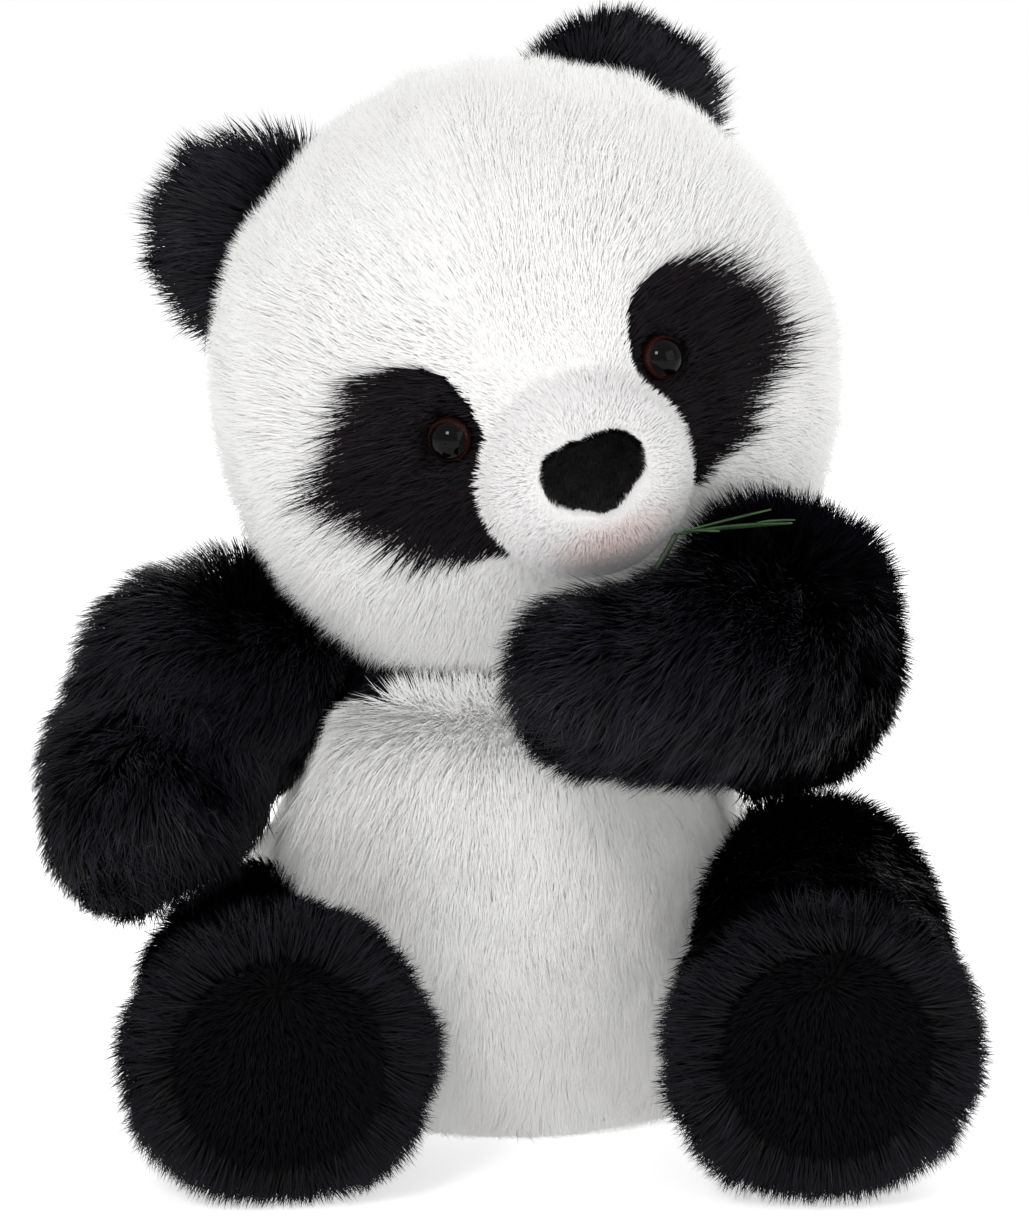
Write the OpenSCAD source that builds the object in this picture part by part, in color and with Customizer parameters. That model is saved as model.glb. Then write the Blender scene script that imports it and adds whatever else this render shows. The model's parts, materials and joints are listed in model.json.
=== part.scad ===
// Plush panda that sits on its seat, with a turning head and disc-jointed limbs.
// The panda faces -Y, +Z is up, and the floor it sits on is z = 0.
// Left and right are the panda's own: its left side is +X.

/* [Torso] */
// Largest radius of the torso, to the mean surface of the pile
torso_r = 80; // [76:1:82]
// Height of the widest part of the torso
belly_z = 80; // [78:1:84]
// Height of the flat top that the neck turns on
torso_top = 168; // [166:1:169]
// Roundness of the torso's outline: 2 is an ellipse, more is squarer
torso_power = 2.6; // [2.5:0.1:2.8]
// Height of the black yoke's lower edge at the front centre
yoke_z = 160; // [152:1:161]

/* [Skins] */
// Thickness of the plush skins, backing cloth and pile together
skin_t = 10; // [9:0.5:11]
// Gap between the stuffing and the skins
loose = 0.4; // [0.3:0.1:0.6]

/* [Head] */
// Radius of the head
head_r = 100; // [98:1:101]
// Yaw of the face towards the panda's left
head_yaw = 8; // [6:1:10]
// Downward pitch of the face
head_pitch = 6; // [5:1:8]
// Tilt of the head towards the panda's right shoulder
head_roll = 20; // [18:1:22]
// Width of the gusset that runs from the muzzle over the crown
gusset_w = 56; // [50:1:58]
// Radius of the muzzle
muzzle_r = 35; // [33:1:36]
// Diameter of each safety eye
eye_d = 15; // [12:1:16]
// Distance between the eyes' centres
eye_spacing = 75.6; // [72:0.2:78]

/* [Ears] */
// Radius of the ears
ear_r = 37; // [34:1:38]
// Thickness of the ears at their middle
ear_t = 26; // [22:1:28]

/* [Limbs] */
// Radius of each foot at its sole
foot_r = 49; // [46:1:50]
// Radius of the short-pile sole pad
sole_r = 33; // [28:1:35]
// Radius of the raised paw
raised_paw_r = 28; // [26:1:29]
// Radius of the hanging paw
hanging_paw_r = 32; // [28:1:33]

/* [Joints] */
// Radius of the joint stems
stem_r = 5; // [4:0.5:6]
// Radius of the limbs' stem discs and washers
disc_r = 20; // [18:1:21]
// Radius of the neck's stem disc and washer
neck_disc_r = 26; // [24:1:28]
// Thickness of the stem discs
disc_t = 3; // [2.5:0.5:3.5]
// Running clearance round each stem in its washer
run_gap = 0.06; // [0.03:0.01:0.1]

/* [Bamboo] */
// Length of the longest leaf
leaf_l = 42; // [36:1:46]
// Width of the leaves
leaf_w = 7; // [5:1:8]

/* [Hidden] */

$fn = 72;
white_plush = [0.95, 0.94, 0.92];
black_plush = [0.06, 0.06, 0.08];
brown_black_plush = [0.1, 0.07, 0.08];
fibre = [0.85, 0.87, 0.9];
nylon = [0.8, 0.8, 0.78];
big = 400;             // half-spaces and cutters reach past the whole toy
seam = 0.1;            // gap between skins that are sewn together
body_gap = 0.4;        // gap between pieces that move against each other

// Joint stack, measured along the joint's axis from the torso's seat, limb side positive
seat_skin = 4;         // skin left where the pile is trimmed away under a joint
stem_back = 14;        // how far the stem reaches into the torso
washer_t = 2;
ring_t = 5;
ring_r = 11;
limb_skin_top = body_gap + seat_skin;

// Torso outline
base_drop = 95;        // half-height of the outline below the belly, cut flat at the floor
top_rise = 98;         // half-height above it, cut flat at the neck

// Tail: height, radius and lean, so that its flat lies along the slope of the torso
tail_z = 38;
tail_r = 16;
tail_lean = -14.5;

// Neck axis, head centre and features, with face distances in the face's own frame
neck_x = 4;
neck_y = -12;
head_cut = 6;          // how deep the neck seat cuts into the head's sphere
head_center = [neck_x, neck_y, torso_top + body_gap + head_r - head_cut];
muzzle_at = [0, -97, -14];
eye_at = [eye_spacing / 2, -87.4, 12];
ear_at = [65, 36, 65];
nose_lift = 12;        // tilt of the nose pad above the muzzle's axis
nose_t = 3.5;
eye_stem_r = 2;
eye_washer_r = 9;

// Joint seats: where each meets the torso, its lean above level and its turn about Z
shoulder_at = [64, 0, 138];
shoulder_lean = 30;
hip_at = [71, -19, 55];
hip_turn = 15;
seats = [
    [shoulder_at, shoulder_lean, 0], [[-shoulder_at[0], 0, shoulder_at[2]], shoulder_lean, 180],
    [hip_at, 0, -hip_turn], [[-hip_at[0], hip_at[1], hip_at[2]], 0, 180 + hip_turn]
];
left_shoulder = seats[0];
right_shoulder = seats[1];
left_hip = seats[2];
right_hip = seats[3];

// Limbs as stations from the seat outwards: centre, direction along the limb, radius of the plush.
// The first station is set on the seat itself.
left_arm_path = [
    [shoulder_at, [0.87, 0, 0.5], 32], [[94, -34, 159], [0.45, -0.85, 0.25], 34],
    [[84, -94, 180], [-0.35, -0.92, 0.15], 37], [[60, -123, 179], [-0.9, -0.45, 0], 34],
    [[33, -136, 178], [-1, -0.25, -0.05], raised_paw_r]
];
right_arm_path = [
    [[-shoulder_at[0], 0, shoulder_at[2]], [-0.87, 0, 0.5], 33], [[-104, -5, 153], [-0.8, -0.3, -0.5], 40],
    [[-120, -20, 125], [-0.35, -0.6, -0.7], 38], [[-126, -44, 113], [0.05, -0.9, -0.4], hanging_paw_r]
];
left_leg_path = [
    [hip_at, [0.97, -0.26, 0], 36], [[103, -52, 78], [0.45, -0.85, 0], 41],
    [[105, -98, 58], [0.07, -1, 0.03], 44], [[104, -134, 52], [0.07, -1, 0.07], foot_r]
];
right_leg_path = [
    [[-hip_at[0], hip_at[1], hip_at[2]], [-0.97, -0.26, 0], 36], [[-91, -50, 54], [-0.55, -0.8, 0], 36],
    [[-80, -92, 50], [-0.05, -1, 0.02], 40], [[-77, -133, 48.5], [0.07, -1, 0.03], foot_r - 1]
];
left_arm_turn = -68;   // heading of each arm's seam plane from the shoulder, about Z
right_arm_turn = 207;
leg_seam_x = 1.3;      // the legs' seam planes lie this far to the left of the feet's centres
foot_round = 18;       // rounding of the feet's rims
round_end = 99;        // more than any limb's radius, for an end that is half a ball
sides = 20;            // flats round each limb
steps = 3;             // rings between two stations of a limb
cap_steps = 4;         // rings in the rounding of a limb's end

// A point on the superellipse outline of the torso, inset from its outside
function torso_radius(z, inset) =
    let (reach = z < belly_z ? base_drop : top_rise, t = abs(z - belly_z) / (reach - inset))
    (torso_r - inset) * pow(1 - pow(t, torso_power), 1 / torso_power);

// Places a child, drawn along +Z from the seat, on the seat's axis
module on_seat(seat) {
    translate(seat[0]) rotate([0, 90 - seat[1], seat[2]]) children();
}

// Places a child in the face's frame: X to the panda's left, -Y forward, Z up
module in_face() {
    translate(head_center) rotate([head_pitch, -head_roll, head_yaw]) children();
}

// Places a child, drawn along +Z outwards, on the line from the head's centre through a point
module through(point) {
    rotate([0, acos(point[2] / norm(point)), atan2(point[1], point[0])]) children();
}

module on_neck() {
    translate([neck_x, neck_y, torso_top]) children();
}

// Everything on the limb's side of a seat, a set distance from it
module beyond_seat(seat, distance) {
    on_seat(seat) translate([-big / 2, -big / 2, distance]) cube(big);
}

// ---- Joint hardware, drawn along +Z from the seat, limb side positive ----

module stem_disc(radius) {
    translate([0, 0, limb_skin_top + 0.2]) cylinder(r = radius, h = disc_t);
    translate([0, 0, -stem_back]) cylinder(r = stem_r, h = stem_back + limb_skin_top + 1);
}

module washer(radius) {
    translate([0, 0, -seat_skin - 0.2 - washer_t]) difference() {
        cylinder(r = radius, h = washer_t);
        translate([0, 0, -1]) cylinder(r = stem_r + run_gap, h = washer_t + 2);
    }
}

module lock_ring() {
    translate([0, 0, -stem_back + 1]) difference() {
        cylinder(r = ring_r, h = ring_t);
        translate([0, 0, -1]) cylinder(r = stem_r + 0.02, h = ring_t + 2);
    }
}

// Hole through a trimmed skin, and the room in the filling on each side of it
module stem_hole() {
    translate([0, 0, -stem_back - 2]) cylinder(r = stem_r + 0.6, h = stem_back + 14);
}

module torso_pocket(radius, top) {
    translate([0, 0, -stem_back - 2]) cylinder(r = radius + 1, h = stem_back + 2 + top);
}

module limb_pocket(radius) {
    translate([0, 0, limb_skin_top]) cylinder(r = radius + 1, h = disc_t + 1.5);
}

// ---- Torso ----

module torso_outline(inset) {
    low = inset > 0 ? inset / 2 : 0;
    high = torso_top - inset;
    steps = 22;
    rotate([0, 0, 90]) rotate_extrude() polygon([
        [0, low],
        for (i = [0:steps]) let (z = low + (high - low) * (1 - cos(180 * i / steps)) / 2)
            [torso_radius(z, inset), z],
        [0, high]
    ]);
}

module torso_form(inset) {
    difference() {
        torso_outline(inset);
        if (inset == 0) for (seat = seats) beyond_seat(seat, 0);
    }
}

module torso_pockets(top) {
    for (seat = seats) on_seat(seat) torso_pocket(disc_r, top);
    on_neck() torso_pocket(neck_disc_r, top);
}

module torso_skin() {
    difference() {
        torso_form(0);
        torso_form(skin_t);
        torso_pockets(-seat_skin);
        for (seat = seats) on_seat(seat) stem_hole();
        on_neck() stem_hole();
    }
}

base_r = torso_radius(0, 0) - 2;
yoke_arc = 140;        // radius of the arc of the yoke's lower edge
side_y = 22;           // the side seams lie this far behind the torso's axis

// Inside this cutter lies the white of the torso, below the yoke
module below_yoke(grow) {
    translate([0, big, yoke_z - yoke_arc]) rotate([90, 0, 0]) cylinder(r = yoke_arc + grow, h = 2 * big);
}

module base_round(grow) {
    translate([0, 0, -1]) cylinder(r = base_r + grow, h = skin_t / 2 + 1 + grow);
}

module white_panel(low, size) {
    color(white_plush) difference() {
        intersection() {
            torso_skin();
            below_yoke(-seam / 2);
            translate(low) cube(size);
        }
        base_round(seam);
    }
}

module belly_panel_left() {
    white_panel([seam / 2, side_y - big, -1], [big, big, big]);
}

module belly_panel_right() {
    white_panel([-big - seam / 2, side_y - big, -1], [big, big, big]);
}

module back_panel() {
    white_panel([-big / 2, side_y + seam, -1], [big, big, big]);
}

module seat_panel() {
    color(white_plush) intersection() {
        torso_skin();
        base_round(0);
    }
}

module shoulder_yoke() {
    color(black_plush) difference() {
        torso_skin();
        below_yoke(seam / 2);
    }
}

// Half a ball and a little more, its flat against the back of the torso
module tail() {
    color(white_plush) translate([0, torso_radius(tail_z, 0) + 0.6, tail_z]) rotate([tail_lean - 90, 0, 0])
        difference() {
            translate([0, 0, 4]) sphere(r = tail_r);
            translate([-tail_r, -tail_r, -tail_r]) cube([2 * tail_r, 2 * tail_r, tail_r]);
        }
}

module torso_stuffing() {
    color(fibre) difference() {
        torso_form(skin_t + loose);
        torso_pockets(1);
    }
}

module neck_washer() {
    color(nylon) on_neck() washer(neck_disc_r);
}

module shoulder_washers() {
    color(nylon) for (seat = [left_shoulder, right_shoulder]) on_seat(seat) washer(disc_r);
}

module hip_washers() {
    color(nylon) for (seat = [left_hip, right_hip]) on_seat(seat) washer(disc_r);
}

// ---- Head ----

module head_ball(grow) {
    in_face() rotate([0, 90, 0]) sphere(r = head_r + grow, $fn = 120);
}

module muzzle_ball(grow) {
    in_face() through(muzzle_at) translate([0, 0, norm(muzzle_at)]) sphere(r = muzzle_r + grow);
}

module neck_flat() {
    on_neck() translate([-big / 2, -big / 2, body_gap - big]) cube(big);
}

// The safety eyes' seats in the plush and the holes of their stems
module eye_openings() {
    in_face() for (side = [-1, 1]) through([side * eye_at[0], eye_at[1], eye_at[2]]) {
        translate([0, 0, head_r - 5]) cylinder(r = eye_d / 2 + 0.7, h = 20);
        translate([0, 0, head_r - 20]) cylinder(r = eye_stem_r + 0.3, h = 20);
        translate([0, 0, head_r - 24]) cylinder(r = eye_washer_r + 1, h = 24 - skin_t);
    }
}

module head_skin() {
    difference() {
        head_ball(0);
        head_ball(-skin_t);
        muzzle_ball(-skin_t + 1);
        neck_flat();
        on_neck() {
            stem_hole();
            limb_pocket(neck_disc_r);
        }
    }
}

// Outline of one eye patch, seen along the face's forward direction
module patch_outline(side, grow) {
    scale([side, 1]) hull() {
        translate([45, 22]) circle(r = 16 + grow);
        translate([51, 5]) circle(r = 20 + grow);
        translate([47, -17]) circle(r = 10 + grow);
        translate([35, -25]) circle(r = 8 + grow);
    }
}

module patch_prism(side, grow) {
    in_face() rotate([90, 0, 0]) linear_extrude(height = big / 2) patch_outline(side, grow);
}

module face_slab(low, high) {
    in_face() translate([low, -big / 2, -big / 2]) cube([high - low, big, big]);
}

module head_panel(low, high) {
    color(white_plush) difference() {
        intersection() {
            head_skin();
            face_slab(low, high);
        }
        patch_prism(1, seam);
        patch_prism(-1, seam);
    }
}

module head_gusset() {
    head_panel(-gusset_w / 2, gusset_w / 2);
}

module head_side_left() {
    head_panel(gusset_w / 2 + seam, big / 2);
}

module head_side_right() {
    head_panel(-big / 2, -gusset_w / 2 - seam);
}

module eye_patch(side) {
    color(brown_black_plush) difference() {
        intersection() {
            head_skin();
            patch_prism(side, 0);
        }
        eye_openings();
    }
}

module muzzle_cover() {
    color(white_plush) difference() {
        muzzle_ball(0);
        muzzle_ball(-skin_t + 1.5);
        in_face() through(muzzle_at) sphere(r = head_r + 0.1, $fn = 120);
    }
}

module nose() {
    color(black_plush) difference() {
        intersection() {
            muzzle_ball(nose_t);
            in_face() translate(muzzle_at) rotate([90 - nose_lift, 0, 0]) linear_extrude(height = big / 2)
                hull() {
                    for (side = [-1, 1]) translate([side * 8, 1]) circle(r = 9.5);
                    translate([0, -5]) circle(r = 8.5);
                }
        }
        muzzle_ball(0.1);
    }
}

module eye(side) {
    color([0.12, 0.05, 0.03])
        in_face() through([side * eye_at[0], eye_at[1], eye_at[2]]) {
            translate([0, 0, head_r - 4.5]) intersection() {
                sphere(r = eye_d / 2);
                cylinder(r = eye_d, h = eye_d);
            }
            translate([0, 0, head_r - 18]) cylinder(r = eye_stem_r, h = 14);
        }
}

module left_eye() {
    eye(1);
}

module right_eye() {
    eye(-1);
}

module eye_washers() {
    color(nylon) in_face() for (side = [-1, 1]) through([side * eye_at[0], eye_at[1], eye_at[2]])
        translate([0, 0, head_r - skin_t - 2.5]) difference() {
            cylinder(r = eye_washer_r, h = 2);
            translate([0, 0, -1]) cylinder(r = eye_stem_r + 0.02, h = 4);
        }
}

// One ear: a lens of two balls that stands on the head, its flat facing forward and outward
module ear_form(side) {
    lens_r = (ear_r * ear_r + ear_t * ear_t / 4) / ear_t;
    difference() {
        in_face() translate([side * ear_at[0], ear_at[1], ear_at[2]])
            rotate([0, 0, side * 24]) intersection() {
                translate([0, lens_r - ear_t / 2, 0]) sphere(r = lens_r, $fn = 120);
                translate([0, ear_t / 2 - lens_r, 0]) sphere(r = lens_r, $fn = 120);
            }
        head_ball(0.2);
    }
}

module ear_half(side, facing) {
    color(black_plush) intersection() {
        ear_form(side);
        in_face() translate([side * ear_at[0], ear_at[1], ear_at[2]]) rotate([0, 0, side * 24])
            translate([-big / 2, facing > 0 ? -big - seam / 2 : seam / 2, -big / 2]) cube(big);
    }
}

module left_ear_front() {
    ear_half(1, 1);
}

module left_ear_back() {
    ear_half(1, -1);
}

module right_ear_front() {
    ear_half(-1, 1);
}

module right_ear_back() {
    ear_half(-1, -1);
}

module head_stuffing() {
    color(fibre) difference() {
        union() {
            head_ball(-skin_t - loose);
            muzzle_ball(-skin_t + 1 - loose);
        }
        on_neck() limb_pocket(neck_disc_r);
        eye_openings();
    }
}

module neck_stem_disc() {
    color(nylon) on_neck() stem_disc(neck_disc_r);
}

module neck_lock_ring() {
    color(nylon) on_neck() lock_ring();
}

// ---- Limbs ----

function unit(v) = v / norm(v);

// A smooth curve through a list of points or numbers, at t = 0, 1, 2...
function spline(list, t) =
    let (last = len(list) - 1, i = min(floor(t), last - 1), f = t - i)
    let (a = list[max(i - 1, 0)], b = list[i], c = list[i + 1], d = list[min(i + 2, last)])
    0.5 * (2 * b + (c - a) * f + (2 * a - 5 * b + 4 * c - d) * f * f + (3 * b - a - 3 * c + d) * f * f * f);

function column(list, n) = [for (row = list) row[n]];

// The points of a ring across a limb, the first and last ones level with each other
function ring(center, axis, radius) =
    let (u = unit(cross([0, 0, 1], axis)), v = cross(axis, u))
    [for (k = [0:sides - 1]) let (a = 360 * (k + 0.5) / sides) center + radius * (cos(a) * u + sin(a) * v)];

// A limb's rings from the seat to its rounded end: start is where its flat lies beyond the seat
function limb_rings(path, edge, inset, start) =
    let (centers = column(path, 0), axes = column(path, 1), radii = column(path, 2))
    let (last = len(path) - 1, tip = path[last][0], r = path[last][2] - inset)
    let (way = unit(path[last][1]), round = min(edge, path[last][2]) - inset)
    [
        ring(path[0][0] + start * unit(path[0][1]), unit(path[0][1]), path[0][2] - inset),
        for (i = [1:last * steps]) let (t = i / steps)
            ring(spline(centers, t), unit(spline(axes, t)), spline(radii, t) - inset),
        for (i = [1:cap_steps]) let (a = (edge < r ? 90 : 80) * i / cap_steps)
            ring(tip + round * sin(a) * way, way, r - round + round * cos(a))
    ];

// A closed solid through rings of equal numbers of points
module loft(rings) {
    n = len(rings[0]);
    last = len(rings) - 1;
    polyhedron(
        points = [for (r = rings) each r],
        faces = [
            [for (k = [0:n - 1]) k],
            for (i = [0:last - 1], k = [0:n - 1]) let (a = i * n + k, b = i * n + (k + 1) % n)
                each [[a, a + n, b], [b, a + n, b + n]],
            [for (k = [n - 1:-1:0]) last * n + k]
        ]
    );
}

module limb_form(path, edge, inset) {
    loft(limb_rings(path, edge, inset, inset > 0 ? limb_skin_top + inset - skin_t : body_gap));
}

module limb_skin(path, seat, edge) {
    difference() {
        limb_form(path, edge, 0);
        limb_form(path, edge, skin_t);
        on_seat(seat) {
            stem_hole();
            limb_pocket(disc_r);
        }
    }
}

module limb_stuffing(path, seat, edge) {
    color(fibre) difference() {
        limb_form(path, edge, skin_t + loose);
        on_seat(seat) limb_pocket(disc_r);
    }
}

// One side of an arm's upright seam plane, which starts at the shoulder and runs towards turn
module seam_side(seat, turn, side) {
    translate(seat[0]) rotate([0, 0, turn])
        translate([-big / 2, side > 0 ? seam / 2 : -big - seam / 2, -big / 2]) cube(big);
}

module arm_panel(path, seat, turn, side) {
    color(black_plush) intersection() {
        limb_skin(path, seat, round_end);
        seam_side(seat, turn, side);
    }
}

module left_arm_outer_panel() {
    arm_panel(left_arm_path, left_shoulder, left_arm_turn, 1);
}

module left_arm_inner_panel() {
    arm_panel(left_arm_path, left_shoulder, left_arm_turn, -1);
}

module left_arm_stuffing() {
    limb_stuffing(left_arm_path, left_shoulder, round_end);
}

module left_arm_stem_disc() {
    color(nylon) on_seat(left_shoulder) stem_disc(disc_r);
}

module left_arm_lock_ring() {
    color(nylon) on_seat(left_shoulder) lock_ring();
}

module right_arm_outer_panel() {
    arm_panel(right_arm_path, right_shoulder, right_arm_turn, -1);
}

module right_arm_inner_panel() {
    arm_panel(right_arm_path, right_shoulder, right_arm_turn, 1);
}

module right_arm_stuffing() {
    limb_stuffing(right_arm_path, right_shoulder, round_end);
}

module right_arm_stem_disc() {
    color(nylon) on_seat(right_shoulder) stem_disc(disc_r);
}

module right_arm_lock_ring() {
    color(nylon) on_seat(right_shoulder) lock_ring();
}

// The end of a leg, drawn along +Z from the foot's last station
module on_foot(path) {
    foot = path[len(path) - 1];
    translate(foot[0]) rotate([0, acos(unit(foot[1])[2]), atan2(foot[1][1], foot[1][0])]) children();
}

module sole_plug(path, grow) {
    on_foot(path) translate([0, 0, foot_round - skin_t - 1]) cylinder(r = sole_r + grow, h = skin_t + 10);
}

module leg_panel(path, seat, side) {
    seam_x = path[len(path) - 1][0][0] + leg_seam_x;
    color(black_plush) difference() {
        intersection() {
            limb_skin(path, seat, foot_round);
            translate([side > 0 ? seam_x + seam / 2 : seam_x - seam / 2 - big, -big / 2, -big / 2]) cube(big);
        }
        sole_plug(path, seam);
    }
}

module foot_sole(path, seat) {
    color(black_plush) intersection() {
        limb_skin(path, seat, foot_round);
        sole_plug(path, 0);
    }
}

module left_leg_outer_panel() {
    leg_panel(left_leg_path, left_hip, 1);
}

module left_leg_inner_panel() {
    leg_panel(left_leg_path, left_hip, -1);
}

module left_foot_sole() {
    foot_sole(left_leg_path, left_hip);
}

module left_leg_stuffing() {
    limb_stuffing(left_leg_path, left_hip, foot_round);
}

module left_leg_stem_disc() {
    color(nylon) on_seat(left_hip) stem_disc(disc_r);
}

module left_leg_lock_ring() {
    color(nylon) on_seat(left_hip) lock_ring();
}

module right_leg_outer_panel() {
    leg_panel(right_leg_path, right_hip, -1);
}

module right_leg_inner_panel() {
    leg_panel(right_leg_path, right_hip, 1);
}

module right_foot_sole() {
    foot_sole(right_leg_path, right_hip);
}

module right_leg_stuffing() {
    limb_stuffing(right_leg_path, right_hip, foot_round);
}

module right_leg_stem_disc() {
    color(nylon) on_seat(right_hip) stem_disc(disc_r);
}

module right_leg_lock_ring() {
    color(nylon) on_seat(right_hip) lock_ring();
}

// ---- Bamboo ----

stem_foot = [40, -134, 200];
stem_length = 28;
bamboo_r = 1.3;
leaf_foot = [56, -134, 226];

module bamboo_stem() {
    color([0.16, 0.3, 0.14]) difference() {
        translate(stem_foot) rotate([0, 31, 0]) cylinder(r = bamboo_r, h = stem_length);
        limb_form(left_arm_path, round_end, -seam);
    }
}

// A flat blade with two pointed ends, along +X from its foot
module leaf(length, width) {
    side_r = (length * length / 4 + width * width / 4) / width;
    translate([length / 2, 0, 0]) linear_extrude(height = 0.8) intersection() {
        translate([0, side_r - width / 2]) circle(r = side_r, $fn = 180);
        translate([0, width / 2 - side_r]) circle(r = side_r, $fn = 180);
    }
}

module bamboo_leaves() {
    color([0.14, 0.32, 0.12]) {
        translate(leaf_foot) rotate([50, 2, 6]) leaf(leaf_l, leaf_w);
        translate(leaf_foot + [1, 1, 2.5]) rotate([60, -14, 10]) leaf(leaf_l * 0.75, leaf_w * 0.7);
    }
}

belly_panel_left();
belly_panel_right();
back_panel();
seat_panel();
shoulder_yoke();
tail();
torso_stuffing();
neck_washer();
shoulder_washers();
hip_washers();
head_gusset();
head_side_left();
head_side_right();
eye_patch(1);  // eye_patch_left
eye_patch(-1);  // eye_patch_right
muzzle_cover();
nose();
left_eye();
right_eye();
eye_washers();
left_ear_front();
left_ear_back();
right_ear_front();
right_ear_back();
head_stuffing();
neck_stem_disc();
neck_lock_ring();
left_arm_outer_panel();
left_arm_inner_panel();
left_arm_stuffing();
left_arm_stem_disc();
left_arm_lock_ring();
right_arm_outer_panel();
right_arm_inner_panel();
right_arm_stuffing();
right_arm_stem_disc();
right_arm_lock_ring();
left_leg_outer_panel();
left_leg_inner_panel();
left_foot_sole();
left_leg_stuffing();
left_leg_stem_disc();
left_leg_lock_ring();
right_leg_outer_panel();
right_leg_inner_panel();
right_foot_sole();
right_leg_stuffing();
right_leg_stem_disc();
right_leg_lock_ring();
bamboo_stem();
bamboo_leaves();
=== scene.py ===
"""The plush panda's looks: long-pile skins, eyes, nose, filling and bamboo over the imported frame."""
import json
import math

import bpy
import numpy as np
from mathutils import Matrix, Vector
from mathutils.bvhtree import BVHTree


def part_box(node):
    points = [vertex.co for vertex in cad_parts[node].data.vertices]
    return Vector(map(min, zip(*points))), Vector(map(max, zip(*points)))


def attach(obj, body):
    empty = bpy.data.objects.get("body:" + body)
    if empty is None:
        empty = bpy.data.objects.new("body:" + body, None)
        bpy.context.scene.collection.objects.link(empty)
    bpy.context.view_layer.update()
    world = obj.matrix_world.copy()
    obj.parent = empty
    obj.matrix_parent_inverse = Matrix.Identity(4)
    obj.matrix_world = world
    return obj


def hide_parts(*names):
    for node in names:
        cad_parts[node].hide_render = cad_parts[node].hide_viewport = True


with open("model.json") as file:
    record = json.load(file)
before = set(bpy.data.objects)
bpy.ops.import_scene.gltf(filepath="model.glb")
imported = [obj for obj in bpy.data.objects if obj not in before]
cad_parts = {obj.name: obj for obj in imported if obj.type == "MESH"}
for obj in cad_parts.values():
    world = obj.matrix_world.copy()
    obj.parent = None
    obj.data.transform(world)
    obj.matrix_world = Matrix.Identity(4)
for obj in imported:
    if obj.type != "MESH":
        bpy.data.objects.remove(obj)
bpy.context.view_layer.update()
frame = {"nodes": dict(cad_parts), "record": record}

MM = 0.001
SUBPARTS = {s["node"]: s["material_slot"] for s in frame["record"]["subparts"]}
BODIES = frame["record"]["behaviour"]["bodies"]
BODY_OF = {node: body for body, nodes in BODIES.items() for node in nodes}
FACE_TRIS = 190000                       # most triangles in one piece
DENSITY = 1.0    # share of the full pile that is laid
DOWN = np.array([0.0, 0.0, -1.0])

# The head's frame, as in the part: X to the panda's left, -Y forward, Z up
HEAD_AT = np.array([4.0, -12.0, 262.4]) * MM
HEAD_ANGLES = (math.radians(6), math.radians(-20), math.radians(8))
HEAD_TURN = np.array(
    Matrix.Rotation(HEAD_ANGLES[2], 3, "Z")
    @ Matrix.Rotation(HEAD_ANGLES[1], 3, "Y")
    @ Matrix.Rotation(HEAD_ANGLES[0], 3, "X")
)
NOSE_AT = np.array([0.0, -130.0, -7.0]) * MM
EYES_AT = [np.array([side * 37.8, -87.4, 12.0]) * MM for side in (1, -1)]
EARS_AT = [np.array([side * 65.0, 36.0, 65.0]) * MM for side in (1, -1)]
MUZZLE_AT = np.array([0.0, -97.0, -14.0]) * MM
MOUTH_AT = np.array([0.0, -122.0, -31.0]) * MM
EYE_RADIUS = 7.6
EYE_BASE = 95.5      # how far from the head's middle the eyes' domes start, in mm
EYE_DOME = 7.2       # how far the domes stand out of that, in mm

# Centre lines of the limbs, from the joint to the end
LIMBS = {
    "left_arm": [[64, 0, 138], [94, -34, 159], [84, -94, 180], [60, -123, 179], [33, -136, 178]],
    "right_arm": [[-64, 0, 138], [-104, -5, 153], [-120, -20, 125], [-126, -44, 113]],
    "left_leg": [[71, -19, 55], [103, -52, 78], [105, -98, 58], [104, -134, 52]],
    "right_leg": [[-71, -19, 55], [-91, -50, 54], [-80, -92, 50], [-77, -133, 48.5]],
}


def in_head(points):
    """World points in the head's frame."""
    return (points - HEAD_AT) @ HEAD_TURN


def unit(v):
    """Vectors at length 1."""
    return v / np.maximum(np.linalg.norm(v, axis=-1, keepdims=True), 1e-9)


def ramp(x, low, high):
    """0 below low, 1 above high, smooth between."""
    t = np.clip((x - low) / (high - low), 0, 1)
    return t * t * (3 - 2 * t)


def lattice(i, seed):
    """Three repeatable numbers from -1 to 1 at each whole-number point."""
    h = (i[..., 0] * 73856093) ^ (i[..., 1] * 19349663) ^ (i[..., 2] * 83492791) ^ (seed * 2654435761)
    out = []
    for k in range(3):
        h = (h ^ (h >> 13)) * 1274126177 + k * 374761393
        h = h & 0x7FFFFFFF
        out.append((h % 65536) / 32767.5 - 1)
    return np.stack(out, axis=-1)


def drift(points, size, seed):
    """Smooth noise with three parts, that changes over about size."""
    q = points / size
    i = np.floor(q).astype(np.int64)
    f = q - i
    f = f * f * (3 - 2 * f)
    total = np.zeros_like(points)
    for dx in (0, 1):
        for dy in (0, 1):
            for dz in (0, 1):
                w = (
                    (f[:, 0] if dx else 1 - f[:, 0])
                    * (f[:, 1] if dy else 1 - f[:, 1])
                    * (f[:, 2] if dz else 1 - f[:, 2])
                )
                total += w[:, None] * lattice(i + np.array([dx, dy, dz]), seed)
    return total


# ---- Materials ----

def new_material(name):
    m = bpy.data.materials.new(name)
    m.use_nodes = True
    tree = m.node_tree
    return m, tree, tree.nodes["Principled BSDF"]


def ramp_node(tree, stops):
    r = tree.nodes.new("ShaderNodeValToRGB")
    while len(r.color_ramp.elements) < len(stops):
        r.color_ramp.elements.new(0.5)
    for e, (at, color) in zip(r.color_ramp.elements, stops):
        e.position = at
        e.color = (*color, 1)
    return r


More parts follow.
